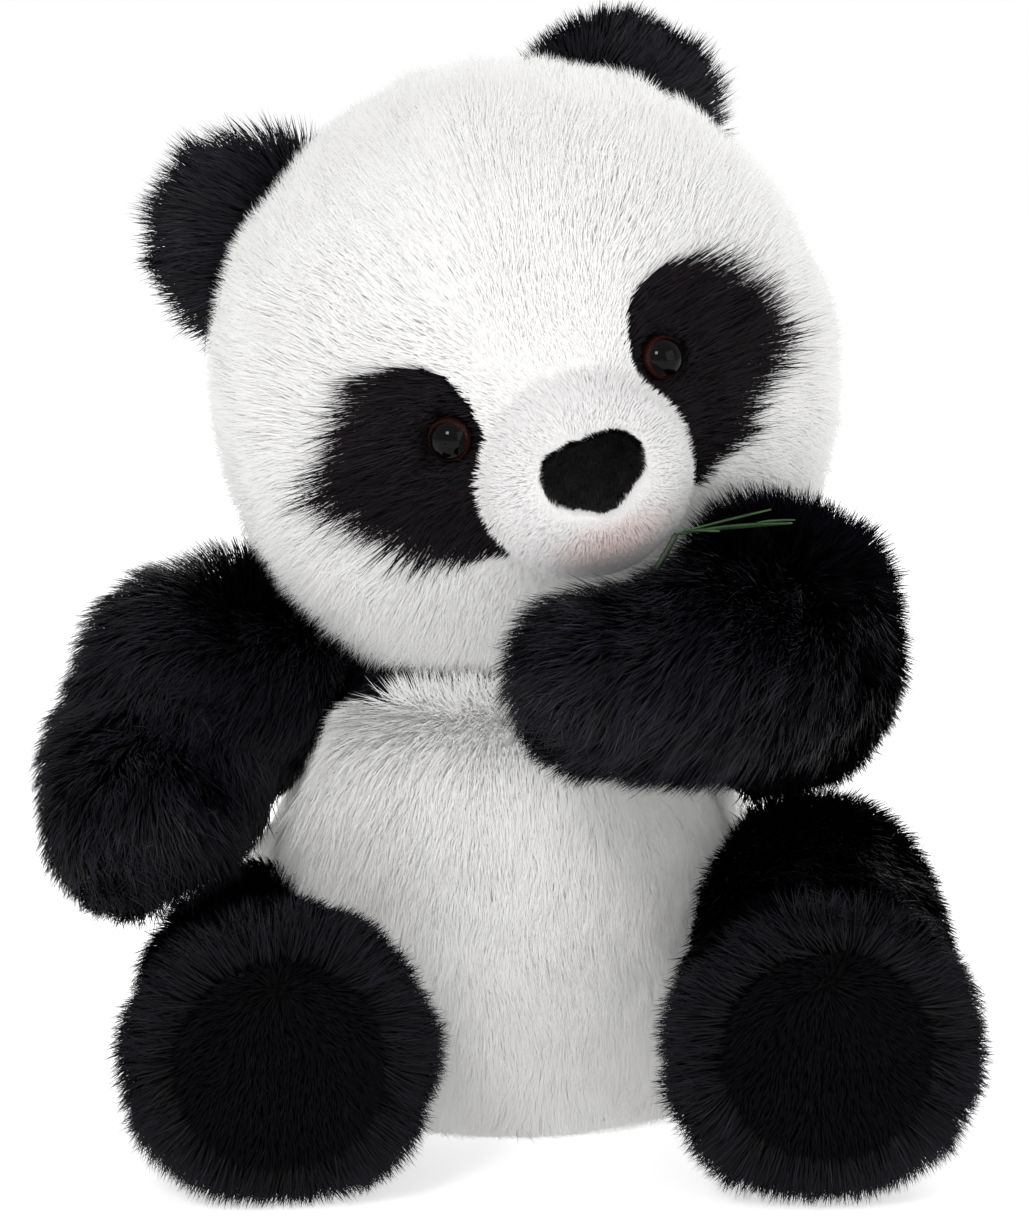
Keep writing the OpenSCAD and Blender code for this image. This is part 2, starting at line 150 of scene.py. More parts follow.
def mixed(tree, kind, a, b, factor):
    """A colour mix of two sockets or colours."""
    m = tree.nodes.new("ShaderNodeMix")
    m.data_type = "RGBA"
    m.blend_type = kind
    for socket, value in ((m.inputs["A"], a), (m.inputs["B"], b), (m.inputs["Factor"], factor)):
        if isinstance(value, bpy.types.NodeSocket):
            tree.links.new(value, socket)
        elif isinstance(value, tuple):
            socket.default_value = (*value, 1)
        else:
            socket.default_value = value
    return m.outputs["Result"]


def noise_node(tree, scale, detail=4.0, stretch=(1, 1, 1)):
    coords = tree.nodes.new("ShaderNodeTexCoord")
    place = tree.nodes.new("ShaderNodeMapping")
    place.inputs["Scale"].default_value = stretch
    n = tree.nodes.new("ShaderNodeTexNoise")
    n.inputs["Scale"].default_value = scale
    n.inputs["Detail"].default_value = detail
    tree.links.new(coords.outputs["Object"], place.inputs["Vector"])
    tree.links.new(place.outputs["Vector"], n.inputs["Vector"])
    return n


def bumped(tree, shader, height, strength, distance):
    b = tree.nodes.new("ShaderNodeBump")
    b.inputs["Strength"].default_value = strength
    b.inputs["Distance"].default_value = distance
    tree.links.new(height, b.inputs["Height"])
    tree.links.new(b.outputs["Normal"], shader.inputs["Normal"])


def pile_material(name, along, tints, patch, roughness, specular, sheen, sheen_tint, glow):
    """Pile: along is its colour from root to tip, tints how single hairs differ at random (in the dark piles
    the top end paints glints on a few hairs), patch how it drifts, and glow an emission of painted light.
    """
    m, tree, shader = new_material(name)
    uv = tree.nodes.new("ShaderNodeUVMap")
    uv.uv_map = "OFBake"
    split = tree.nodes.new("ShaderNodeSeparateXYZ")
    tree.links.new(uv.outputs["UV"], split.inputs["Vector"])
    length = ramp_node(tree, along)
    tree.links.new(split.outputs["Y"], length.inputs["Fac"])
    hair = ramp_node(tree, tints)
    tree.links.new(split.outputs["X"], hair.inputs["Fac"])
    color = mixed(tree, "MULTIPLY", length.outputs["Color"], hair.outputs["Color"], 1.0)
    drifted = ramp_node(tree, [(0.3, (1, 1, 1)), (0.75, patch)])
    tree.links.new(noise_node(tree, 28).outputs["Fac"], drifted.inputs["Fac"])
    color = mixed(tree, "MULTIPLY", color, drifted.outputs["Color"], 1.0)
    tree.links.new(color, shader.inputs["Base Color"])
    shader.inputs["Roughness"].default_value = roughness
    shader.inputs["Specular IOR Level"].default_value = specular
    shader.inputs["Sheen Weight"].default_value = sheen
    shader.inputs["Sheen Roughness"].default_value = 0.45
    shader.inputs["Sheen Tint"].default_value = (*sheen_tint, 1)
    # Emission at strength glow is painted light: it brightens the pile and lifts the shade between its hairs
    shader.inputs["Emission Color"].default_value = (1, 1, 1, 1)
    shader.inputs["Emission Strength"].default_value = glow
    return m


# The last number, 0.07, is a glow: painted light that brightens the white pile and lifts the shade between
# its hairs
WHITE = pile_material(
    "white_pile",
    [(0.0, (0.92, 0.915, 0.908)), (0.45, (0.95, 0.948, 0.944)), (1.0, (0.975, 0.974, 0.973))],
    [(0.0, (0.96, 0.955, 0.95)), (0.5, (1, 1, 1)), (1.0, (0.985, 0.98, 0.97))],
    (0.985, 0.982, 0.976), 0.8, 0.1, 0.15, (1, 1, 1), 0.07,
)
# Black pile, darker at the root; its lighter purple-blue tips paint the pile's sheen, and the top of its
# tints paints glints on a few hairs
BLACK = pile_material(
    "black_pile",
    [(0.0, (0.0015, 0.0015, 0.002)), (0.6, (0.005, 0.0048, 0.0062)), (1.0, (0.017, 0.0155, 0.021))],
    [(0.0, (0.6, 0.6, 0.65)), (0.8, (1.0, 1.0, 1.1)), (0.94, (1.6, 1.5, 1.9)), (1.0, (3.4, 3.0, 3.8))],
    (0.7, 0.68, 0.8), 0.44, 0.17, 0.0, (0.6, 0.6, 0.9), 0.0,
)
# The top of the eye patch pile's tints paints glints on a few hairs
PATCH = pile_material(
    "eye_patch_pile",
    [(0.0, (0.002, 0.0015, 0.002)), (0.6, (0.0045, 0.0035, 0.0048)), (1.0, (0.019, 0.011, 0.0155))],
    [(0.0, (0.6, 0.6, 0.6)), (0.8, (1.1, 1.0, 1.1)), (1.0, (2.2, 1.7, 1.9))],
    (0.7, 0.66, 0.7), 0.46, 0.11, 0.0, (0.8, 0.6, 0.7), 0.0,
)
NOSE = pile_material(
    "nose_velour",
    [(0.0, (0.003, 0.003, 0.003)), (1.0, (0.012, 0.012, 0.013))],
    [(0.0, (0.7, 0.7, 0.7)), (1.0, (1.5, 1.5, 1.5))],
    (0.7, 0.7, 0.7), 0.55, 0.12, 0.0, (0.8, 0.8, 0.9), 0.0,
)
# The muzzle glows too, at 0.06: painted light that brightens it
MUZZLE = pile_material(
    "muzzle_pile",
    [(0.0, (0.88, 0.87, 0.865)), (0.5, (0.94, 0.935, 0.93)), (1.0, (0.97, 0.967, 0.965))],
    [(0.0, (0.97, 0.965, 0.965)), (1.0, (1, 1, 1))],
    (0.985, 0.975, 0.975), 0.8, 0.1, 0.15, (1, 1, 1), 0.06,
)
# A darker copy of the black pile for the leg panels: the same fabric with painted shade; the top of its tints
# paints glints
SHADED_LEG = pile_material(
    "leg_pile_painted_shade",
    [(0.0, (0.0012, 0.0012, 0.0015)), (0.6, (0.0035, 0.0034, 0.0045)), (1.0, (0.0115, 0.0105, 0.0145))],
    [(0.0, (0.6, 0.6, 0.65)), (0.85, (1.0, 1.0, 1.1)), (1.0, (2.8, 2.5, 3.2))],
    (0.7, 0.68, 0.8), 0.48, 0.11, 0.0, (0.6, 0.6, 0.9), 0.0,
)
# A still darker copy of the black pile for the soles: the same fabric with painted shade; the top of its
# tints paints glints
SHADED_SOLE = pile_material(
    "sole_pile_painted_shade",
    [(0.0, (0.001, 0.001, 0.001)), (1.0, (0.003, 0.003, 0.0045))],
    [(0.0, (0.7, 0.7, 0.7)), (0.9, (1.1, 1.1, 1.2)), (1.0, (2.2, 2.0, 2.6))],
    (0.8, 0.78, 0.85), 0.6, 0.05, 0.0, (0.6, 0.6, 0.9), 0.0,
)


def mouth_tint(material):
    """A faint pink smudge under the nose, where the mouth is."""
    tree = material.node_tree
    shader = tree.nodes["Principled BSDF"]
    before = shader.inputs["Base Color"].links[0].from_socket
    coords = tree.nodes.new("ShaderNodeTexCoord")
    place = tree.nodes.new("ShaderNodeMapping")
    place.vector_type = "TEXTURE"
    place.inputs["Location"].default_value = HEAD_AT + HEAD_TURN @ MOUTH_AT
    place.inputs["Rotation"].default_value = HEAD_ANGLES
    place.inputs["Scale"].default_value = (0.026, 0.026, 0.013)
    ball = tree.nodes.new("ShaderNodeTexGradient")
    ball.gradient_type = "SPHERICAL"
    tree.links.new(coords.outputs["Object"], place.inputs["Vector"])
    tree.links.new(place.outputs["Vector"], ball.inputs["Vector"])
    tint = ramp_node(tree, [(0.0, (1, 1, 1)), (1.0, (0.93, 0.72, 0.7))])
    tree.links.new(ball.outputs["Fac"], tint.inputs["Fac"])
    tree.links.new(mixed(tree, "MULTIPLY", before, tint.outputs["Color"], 1.0), shader.inputs["Base Color"])


mouth_tint(MUZZLE)


def fibre_material():
    m, tree, shader = new_material("filling_fibre")
    fine = noise_node(tree, 900, 6, (1, 0.35, 1))
    tone = ramp_node(tree, [(0.3, (0.72, 0.74, 0.76)), (0.7, (0.93, 0.94, 0.95))])
    tree.links.new(fine.outputs["Fac"], tone.inputs["Fac"])
    tree.links.new(tone.outputs["Color"], shader.inputs["Base Color"])
    shader.inputs["Roughness"].default_value = 0.85
    shader.inputs["Sheen Weight"].default_value = 0.3
    bumped(tree, shader, fine.outputs["Fac"], 0.6, 0.001)
    return m


def plastic_material():
    m, tree, shader = new_material("joint_plastic")
    grain = noise_node(tree, 600, 3)
    tone = ramp_node(tree, [(0.3, (0.72, 0.72, 0.69)), (0.7, (0.8, 0.8, 0.78))])
    tree.links.new(grain.outputs["Fac"], tone.inputs["Fac"])
    tree.links.new(tone.outputs["Color"], shader.inputs["Base Color"])
    rough = ramp_node(tree, [(0.3, (0.38, 0.38, 0.38)), (0.7, (0.5, 0.5, 0.5))])
    tree.links.new(grain.outputs["Fac"], rough.inputs["Fac"])
    tree.links.new(rough.outputs["Color"], shader.inputs["Roughness"])
    bumped(tree, shader, grain.outputs["Fac"], 0.15, 0.0003)
    return m


def eye_material():
    """A dark pupil, a red-brown ring and a nearly black rim under a clear gloss."""
    m, tree, shader = new_material("eye_plastic")
    uv = tree.nodes.new("ShaderNodeUVMap")
    uv.uv_map = "OFBake"
    split = tree.nodes.new("ShaderNodeSeparateXYZ")
    tree.links.new(uv.outputs["UV"], split.inputs["Vector"])
    rings = ramp_node(tree, [
        (0.0, (0.001, 0.001, 0.001)), (0.74, (0.002, 0.001, 0.001)), (0.82, (0.008, 0.003, 0.002)),
        (0.89, (0.035, 0.011, 0.008)), (0.95, (0.015, 0.005, 0.004)), (1.0, (0.003, 0.002, 0.002)),
    ])
    tree.links.new(split.outputs["Y"], rings.inputs["Fac"])
    streaks = noise_node(tree, 1500, 3)
    tone = ramp_node(tree, [(0.3, (0.7, 0.7, 0.7)), (0.7, (1.2, 1.2, 1.2))])
    tree.links.new(streaks.outputs["Fac"], tone.inputs["Fac"])
    color = mixed(tree, "MULTIPLY", rings.outputs["Color"], tone.outputs["Color"], 1.0)
    tree.links.new(color, shader.inputs["Base Color"])
    shader.inputs["Roughness"].default_value = 0.04
    shader.inputs["Specular IOR Level"].default_value = 0.14
    return m


def leaf_material(name, dark, light):
    m, tree, shader = new_material(name)
    veins = noise_node(tree, 500, 4, (0.15, 1, 1))
    tone = ramp_node(tree, [(0.35, dark), (0.7, light)])
    tree.links.new(veins.outputs["Fac"], tone.inputs["Fac"])
    tree.links.new(tone.outputs["Color"], shader.inputs["Base Color"])
    shader.inputs["Roughness"].default_value = 0.5
    bumped(tree, shader, veins.outputs["Fac"], 0.3, 0.0003)
    return m


FIBRE = fibre_material()
PLASTIC = plastic_material()
EYE = eye_material()
STEM = leaf_material("bamboo_stem", (0.008, 0.02, 0.006), (0.02, 0.04, 0.012))
LEAF = leaf_material("bamboo_leaf", (0.009, 0.033, 0.009), (0.033, 0.095, 0.022))


# ---- Mesh helpers ----

def to_object(name, verts, tris, uv=None, normals=None):
    """A mesh object from arrays; uv is one per vertex, and normals soften the shading."""
    me = bpy.data.meshes.new(name)
    me.vertices.add(len(verts))
    me.vertices.foreach_set("co", np.asarray(verts, np.float32).ravel())
    me.loops.add(3 * len(tris))
    me.loops.foreach_set("vertex_index", np.asarray(tris, np.int32).ravel())
    me.polygons.add(len(tris))
    me.polygons.foreach_set("loop_start", np.arange(0, 3 * len(tris), 3, dtype=np.int32))
    me.update(calc_edges=True)
    if uv is not None:
        layer = me.uv_layers.new(name="OFBake")
        layer.uv.foreach_set("vector", np.asarray(uv[np.asarray(tris).ravel()], np.float32).ravel())
    if normals is not None:
        attribute = me.attributes.new("custom_normal", "FLOAT_VECTOR", "POINT")
        attribute.data.foreach_set("vector", np.asarray(normals, np.float32).ravel())
    me.update()
    ob = bpy.data.objects.new(name, me)
    bpy.context.collection.objects.link(ob)
    return ob


def arrays(me):
    """Vertices, triangles and vertex normals of a mesh."""
    me.calc_loop_triangles()
    co = np.empty(3 * len(me.vertices), np.float32)
    me.vertices.foreach_get("co", co)
    no = np.empty(3 * len(me.vertices), np.float32)
    me.vertices.foreach_get("normal", no)
    tri = np.empty(3 * len(me.loop_triangles), np.int32)
    me.loop_triangles.foreach_get("vertices", tri)
    return co.reshape(-1, 3).astype(float), tri.reshape(-1, 3), no.reshape(-1, 3).astype(float)


def merged_mesh(nodes):
    """Vertices and triangles of several nodes as one mesh."""
    verts, tris, count = [], [], 0
    for node in nodes:
        v, t, _ = arrays(frame["nodes"][node].data)
        verts.append(v)
        tris.append(t + count)
        count += len(v)
    return np.concatenate(verts), np.concatenate(tris)


def tree_of(nodes):
    """A search tree over several nodes' faces."""
    v, t = merged_mesh(nodes)
    return BVHTree.FromPolygons(v.tolist(), t.tolist())


def distances(tree, points):
    """How far each point is from the tree's nearest face."""
    return np.array([tree.find_nearest(p)[3] for p in points.tolist()])


def areas(v, t):
    """Each triangle's area in square mm."""
    return np.linalg.norm(np.cross(v[t[:, 1]] - v[t[:, 0]], v[t[:, 2]] - v[t[:, 0]]), axis=1) / 2 / MM ** 2


def shell_labels(v, t):
    """For each vertex, the lowest vertex number in its connected shell."""
    group = np.arange(len(v))
    while True:
        low = group.copy()
        for a, b in ((0, 1), (1, 2), (2, 0)):
            np.minimum.at(low, t[:, a], group[t[:, b]])
            np.minimum.at(low, t[:, b], group[t[:, a]])
        low = low[low]
        if (low == group).all():
            return group
        group = low


def outer_surface(nodes, voxel, smooth=4):
    """One closed surface round these nodes: their outside, remeshed and smoothed."""
    v, t = merged_mesh(nodes)
    ob = to_object("tmp_outer", v, t)
    mod = ob.modifiers.new("remesh", "REMESH")
    mod.mode = "VOXEL"
    mod.voxel_size = voxel
    soft = ob.modifiers.new("smooth", "SMOOTH")
    soft.factor = 0.5
    soft.iterations = smooth
    me = bpy.data.meshes.new_from_object(ob.evaluated_get(bpy.context.evaluated_depsgraph_get()))
    v, t, n = arrays(me)
    bpy.data.objects.remove(ob)
    group = shell_labels(v, t)
    kinds = np.unique(group)
    sizes = [np.ptp(v[group == k], axis=0).prod() for k in kinds]
    keep = group == kinds[int(np.argmax(sizes))]
    index = np.cumsum(keep) - 1
    return v[keep], index[t[keep[t].all(axis=1)]], n[keep]


# ---- Pile ----

def lay_pile(roots, normals, flow, length, lean, width, segments, soft, rng):
    """Ribbons from roots, leaning along flow by two angles off the normal, at the root and at the tip."""
    count = len(roots)
    flow = unit(flow - normals * (flow * normals).sum(1, keepdims=True))
    point, points, directions = roots, [roots], []
    for k in range(segments):
        angle = np.radians(lean[:, 0] + (lean[:, 1] - lean[:, 0]) * (k / max(segments - 1, 1)))
        step = normals * np.cos(angle)[:, None] + flow * np.sin(angle)[:, None]
        point = point + step * (length / segments)[:, None]
        points.append(point)
        directions.append(step)
    directions.append(directions[-1])
    roll = rng.uniform(-0.7, 0.7, count)
    verts = np.empty((count, 2 * segments + 1, 3))
    shade = np.empty_like(verts)
    for k in range(segments + 1):
        side = unit(np.cross(directions[k], normals))
        face = np.cross(side, directions[k])
        face = np.where((face * normals).sum(1, keepdims=True) < 0, -face, face)
        across = side * np.cos(roll)[:, None] + face * np.sin(roll)[:, None]
        normal = unit(np.cross(directions[k], across))
        normal = np.where((normal * normals).sum(1, keepdims=True) < 0, -normal, normal)
        normal = unit(normal * (1 - soft) + normals * soft)
        if k < segments:
            half = across * (width * (1 - 0.35 * k / segments) / 2)[:, None]
            verts[:, 2 * k] = points[k] - half
            verts[:, 2 * k + 1] = points[k] + half
            shade[:, 2 * k] = normal
            shade[:, 2 * k + 1] = normal
        else:
            verts[:, 2 * k] = points[k]
            shade[:, 2 * k] = normal
    tris = []
    for k in range(segments - 1):
        tris += [[2 * k, 2 * k + 1, 2 * k + 3], [2 * k, 2 * k + 3, 2 * k + 2]]
    tris.append([2 * segments - 2, 2 * segments - 1, 2 * segments])
    tris = (np.arange(count)[:, None, None] * (2 * segments + 1) + np.array(tris)[None]).reshape(-1, 3)
    flat = verts.reshape(-1, 3)
    a, b, c = flat[tris[:, 0]], flat[tris[:, 1]], flat[tris[:, 2]]
    backward = (np.cross(b - a, c - a) * shade.reshape(-1, 3)[tris[:, 2]]).sum(1) < 0
    tris[backward] = tris[backward][:, ::-1]
    tint = np.repeat(np.floor(rng.random(count) * 64) / 64, 2 * segments + 1)
    v_of = np.array([x for k in range(segments) for x in (k / segments, k / segments)] + [1.0])
    uv = np.stack([tint, np.tile(v_of, count) * 0.98 + 0.01], axis=1)
    uv[1::2, 0] += 1 / 70
    flat[:, 2] = np.maximum(flat[:, 2], 0.0004)
    return flat, tris, uv, shade.reshape(-1, 3)


def cloth_and_pile(name, v, t, n, fv, ft, fuv, fn, rng):
    """One object of a cloth, in the colour of the pile's roots, and the pile on it."""
    uv = np.tile([0.5, 0.02], (len(v), 1)) + rng.random((len(v), 2)) * 0.015
    return to_object(
        name, np.concatenate([v, fv]), np.concatenate([t, ft + len(v)]),
        np.concatenate([uv, fuv]), np.concatenate([n, fn]),
    )


def limb_flow(points, path):
    """Along a limb's centre line, from the joint to the end."""
    path = np.array(path) * MM
    total = np.zeros_like(points)
    for a, b in zip(path[:-1], path[1:]):
        t = np.clip(((points - a) @ (b - a)) / ((b - a) @ (b - a)), 0, 1)
        away = np.linalg.norm(points - (a + t[:, None] * (b - a)), axis=1)
        total += unit(b - a) / (away[:, None] ** 4 + 1e-12)
    return unit(total)


def comb_ear(node, points, ones):
    """Out from the ear's foot, and flatter at the tips."""
    q = in_head(points)
    side = 0 if node.startswith("left") else 1
    foot = EARS_AT[side] * 0.72
    top = ramp(points[:, 2] / MM, 345, 385)
    flow = unit(q - foot) @ HEAD_TURN.T + 0.1 * DOWN
    return flow, 21 - 7 * top, 20 * ones, 52 * ones, 8 + 3 * top


def comb_head(node, points, ones):
    """Away from the nose over the face, and down at the back."""
    q = in_head(points)
    flow = unit(q - NOSE_AT) @ HEAD_TURN.T
    from_nose = np.linalg.norm(q - NOSE_AT, axis=1) / MM
    if node == "muzzle_cover":
        return flow, 4 + 2 * ramp(from_nose, 25, 50), 30 * ones, 65 * ones, 3 * ones
    low = ramp(-q[:, 2] / MM, -30, 60)
    far = ramp(from_nose, 58, 125)
    bridge = 5 * ramp(-q[:, 1] / MM, 60, 90) * (1 - ramp(np.abs(q[:, 0]) / MM, 8, 30))
    bridge = bridge * ramp(q[:, 2] / MM, -20, 8) * (1 - ramp(q[:, 2] / MM, 20, 62))
    behind = ramp(q[:, 1] / MM, 10, 80)
    flow = flow + (0.55 * low + 1.5 * behind)[:, None] * DOWN
    if node.startswith("eye_patch"):
        side = 1 if node.endswith("left") else -1
        flow = unit(flow) + 0.8 * (HEAD_TURN @ np.array([side, 0, -0.1]))
        fringe = ramp(from_nose, 62, 92)
        return flow, 8 + 12 * fringe, 34 * ones, 68 - 8 * fringe, 5 - 2 * far
    length = 4.5 + 13.5 * far + 6 * low * far
    return flow, length, 44 - 14 * far, 76 - 10 * far, 3 - bridge


def comb_torso(node, points, normals, ones):
    """Down over the torso, and up under the chin where the belly meets the yoke."""
    out = points * np.array([1, 1, 0])
    if node == "tail":
        flow = unit(points - np.array([0, 0.07, 0.045])) + 0.3 * DOWN
        return flow, 14 * ones, 25 * ones, 60 * ones, 7 * ones
    if node == "seat_panel":
        return unit(out), 7 * ones, 60 * ones, 85 * ones, 4 * ones
    flow = DOWN + 0.25 * unit(out)
    if node == "shoulder_yoke":
        length = 7 + 11 * ramp(np.abs(points[:, 0]) / MM, 25, 60)
        return flow, length, 28 * ones, 68 * ones, 7 * ones
    low = 1 - ramp(points[:, 2] / MM, 0, 30)
    side = ramp(np.abs(points[:, 0]) / MM, 35, 75)
    full = 4 * ramp(points[:, 2] / MM, 50, 80)
    front = ramp(-points[:, 1] / MM, 0, 40)
    rise = 1.6 * front * ramp(points[:, 2] / MM, 140, 160)
    stand = front * ramp(points[:, 2] / MM, 128, 150)
    hang = np.degrees(np.arccos(np.clip(-normals[:, 2], -1, 1)))
    flow = flow + 0.35 * side[:, None] * unit(out) - rise[:, None] * DOWN
    length = 15 + 12 * side + 9 * low
    lean_root = np.minimum(30 - 18 * stand, hang)
    lean_tip = np.minimum(66 - 36 * stand, hang + 4)
    return flow, length, lean_root, lean_tip, 8 - full * (0.5 + side)


def comb_arm(body, points, normals):
    """Along the arm, hanging a little, and longer and more upright on top of the upper arm."""
    flow = 0.75 * limb_flow(points, LIMBS[body]) + 0.5 * DOWN
    from_x, full_x = (60, 90) if body == "left_arm" else (-112, -88)
    top = ramp(normals[:, 2], 0.3, 0.9) * ramp(points[:, 2] / MM, 140, 190)
    top = top * ramp(points[:, 0] / MM, from_x, full_x)
    return flow, 21 + 5 * top, 22 - 6 * top, 60 - 22 * top, 7.5 - 2.5 * top


def comb_leg(node, body, points, ones):
    """Along the leg, then out from the middle of the foot; short on the sole."""
    path = LIMBS[body]
    along = limb_flow(points, path)
    way = unit(np.array(path[-1], float) - np.array(path[-2], float))
    off = points - np.array(path[-1]) * MM
    ahead = (off @ way) / MM
    aside = off - (off @ way)[:, None] * way
    radial = unit(aside)
    middle = np.linalg.norm(aside, axis=1) / MM
    if node.endswith("foot_sole"):
        flow = radial * ramp(middle, 6, 34)[:, None] + 0.8 * DOWN
        return flow, 8 * ones, 25 * ones, 62 * ones, 5.5 * ones
    front = ramp(ahead, -22, 6)[:, None]
    flow = along * (1 - front) + 0.3 * DOWN + radial * front
    low = 1 - ramp(points[:, 2] / MM, 0, 14)
    rim = ramp(middle, 20, 36)
    length = 19 - 5 * front[:, 0] * (1 - rim)
    return flow, length * (1 - 0.35 * low), 24 + 25 * low, 60 + 20 * low, 8.5 * ones


def comb(node, points, normals):
    """For each point: flow, length in mm, lean at the root and at the tip, and how deep the cloth lies."""
    body = BODY_OF[node]
    ones = np.ones(len(points))
    if "ear" in node and body == "head":
        return comb_ear(node, points, ones)
    if body == "head":
        return comb_head(node, points, ones)
    if body == "torso":
        return comb_torso(node, points, normals, ones)
    if body.endswith("arm"):
        return comb_arm(body, points, normals)
    return comb_leg(node, body, points, ones)


MATERIAL_OF = {"white_plush": WHITE, "black_plush": BLACK, "eye_patch_plush": PATCH}
# The soles take the darker copy of the black pile: painted shade
SPECIAL = {"muzzle_cover": MUZZLE, "left_foot_sole": SHADED_SOLE, "right_foot_sole": SHADED_SOLE}
# The leg panels take the darker copy of the black pile: painted shade
SPECIAL.update({n: SHADED_LEG for n in SUBPARTS if "leg" in n and n.endswith("panel")})
# Hairs per square mm, width in mm, and how far the shading follows the skin
HAIR = {"white_plush": (2.0, 0.45, 1.0), "black_plush": (1.2, 0.5, 0.3), "eye_patch_plush": (2.2, 0.42, 0.3)}


def eye_room(points):
    """How far each head point is from the nearest eye's axis, in mm."""
    q = in_head(points)
    return np.min([
        np.linalg.norm(q - (q @ unit(e))[:, None] * unit(e), axis=1) + 1000 * (q @ e < 0) for e in EYES_AT
    ], axis=0) / MM


def weighed(field, corner, w):
    """A field of the vertices at points inside triangles."""
    return (field[corner] * (w[..., None] if field.ndim == 2 else w)).sum(axis=1)


def strewn(t, near, k, picked, area, rate, rng):
    """Random points that belong to panel k: their triangles' corners and their weights."""
    hairs = np.floor(area[picked] * rate + rng.random(len(picked))).astype(int)
    face = np.repeat(picked, hairs)
    w = rng.dirichlet((1, 1, 1), len(face))
    corner = t[face]
    own = weighed(near, corner, w).argmin(axis=1) == k
    return corner[own], w[own]


def ruffled(roots, flow, length, lean, gap, slot, seed, rng):
    """Flow, length and lean with the pile's unevenness, shorter and flatter where another part is close."""
    ruffle = 1.0 if slot == "black_plush" else 0.5
    uneven = 0.45 if slot == "eye_patch_plush" else 0.15
    bend = drift(roots, 0.022, seed) * 0.35 + drift(roots, 0.0065, seed + 50) * 0.5 * ruffle
    flow = unit(flow) + bend + rng.normal(0, 0.16, (len(roots), 3))
    sway = drift(roots, 0.010, seed + 99)
    length = length * (1 + uneven * rng.uniform(-1, 1, len(roots))) * (1 + uneven * sway[:, 0])
    length = length * (0.25 + 0.75 * ramp(gap, 0.5, 16))
    lean = lean + 13 * ruffle * sway[:, 1:]
    lean[:, 1] += rng.normal(0, 6 * ruffle, len(roots))
    lean += (1 - ramp(gap, 0.5, 14))[:, None] * np.array([25, 15])
    return flow, length, np.clip(lean, 5, 88)


def plush(body, nodes, fill, voxel, seed):
    """The pile skins of one group of panels, one piece per panel."""
    rng = np.random.default_rng(seed)
    v, t, n = outer_surface(nodes + fill, voxel)
    near = np.stack([distances(tree_of([node]), v) for node in nodes], axis=1)
    others = [
        o for o in SUBPARTS
        if SUBPARTS[o].endswith("plush") and (BODY_OF[o] != body or o == "nose")
    ]
    room = distances(tree_of(others), v) / MM
    fields = {node: comb(node, v, n) for node in nodes}
    share = 1 / (near / MM + 0.6) ** 4
    share /= share.sum(1, keepdims=True)
    depth = sum(share[:, k] * fields[node][4] for k, node in enumerate(nodes))
    depth = depth * (0.12 + 0.88 * ramp(room, 0, 9))
    cloth = v - n * (depth * MM)[:, None]
    area = areas(v, t)
    owner = near[t].mean(axis=1).argmin(axis=1)
    for k, node in enumerate(nodes):
        slot = SUBPARTS[node]
        density, width, soft = HAIR[slot]
        segments = 3 if slot == "black_plush" else 2
        mine = (owner == k) | (near[t][:, :, k].min(axis=1) <= near[t].min(axis=(1, 2)) + 0.002)
        total = area[owner == k].sum() * density * DENSITY
        most = (FACE_TRIS - (owner == k).sum()) / (2 * segments - 1)
        rate = density * DENSITY * min(1, most / max(total, 1))
        corner, w = strewn(t, near, k, np.flatnonzero(mine), area, rate, rng)
        roots, up, gap = weighed(cloth, corner, w), unit(weighed(n, corner, w)), weighed(room, corner, w)
        flow, length, lean_root, lean_tip = (weighed(field, corner, w) for field in fields[node][:4])
        keep = np.ones(len(roots), bool)
        if body == "head" and "ear" not in node:
            clear = eye_room(roots)
            keep = clear > EYE_RADIUS
            length = length * (0.35 + 0.65 * ramp(clear, 8, 19))
        lean = np.stack([lean_root, lean_tip], axis=1)
        flow, length, lean = ruffled(roots, flow, length, lean, gap, slot, seed, rng)
        wide = width * MM * (0.75 + 0.5 * rng.random(keep.sum())) / max(DENSITY, 0.5)
        fv, ft, fuv, fn = lay_pile(
            roots[keep], up[keep], flow[keep], length[keep] * MM, lean[keep], wide, segments, soft, rng
        )
        used, low = np.unique(t[owner == k], return_inverse=True)
        name = node + "_plush"
        piece = cloth_and_pile(name, cloth[used], low.reshape(-1, 3), n[used], fv, ft, fuv, fn, rng)
        piece.data.materials.append(SPECIAL.get(node, MATERIAL_OF[slot]))
        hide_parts(node)
        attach(piece, body)


HEAD_SKINS = [
    "head_gusset", "head_side_left", "head_side_right", "eye_patch_left", "eye_patch_right", "muzzle_cover"
]
plush("torso", [n for n in BODIES["torso"] if SUBPARTS[n].endswith("plush")], ["torso_stuffing"], 0.004, 11)
plush("head", HEAD_SKINS, ["head_stuffing"], 0.004, 12)
plush("head", ["left_ear_front", "left_ear_back"], [], 0.0028, 13)
plush("head", ["right_ear_front", "right_ear_back"], [], 0.0028, 14)
for number, limb in enumerate(LIMBS):
    skins = [n for n in BODIES[limb] if SUBPARTS[n].endswith("plush")]
    plush(limb, skins, [limb + "_stuffing"], 0.004, 20 + number)


# ---- Nose ----

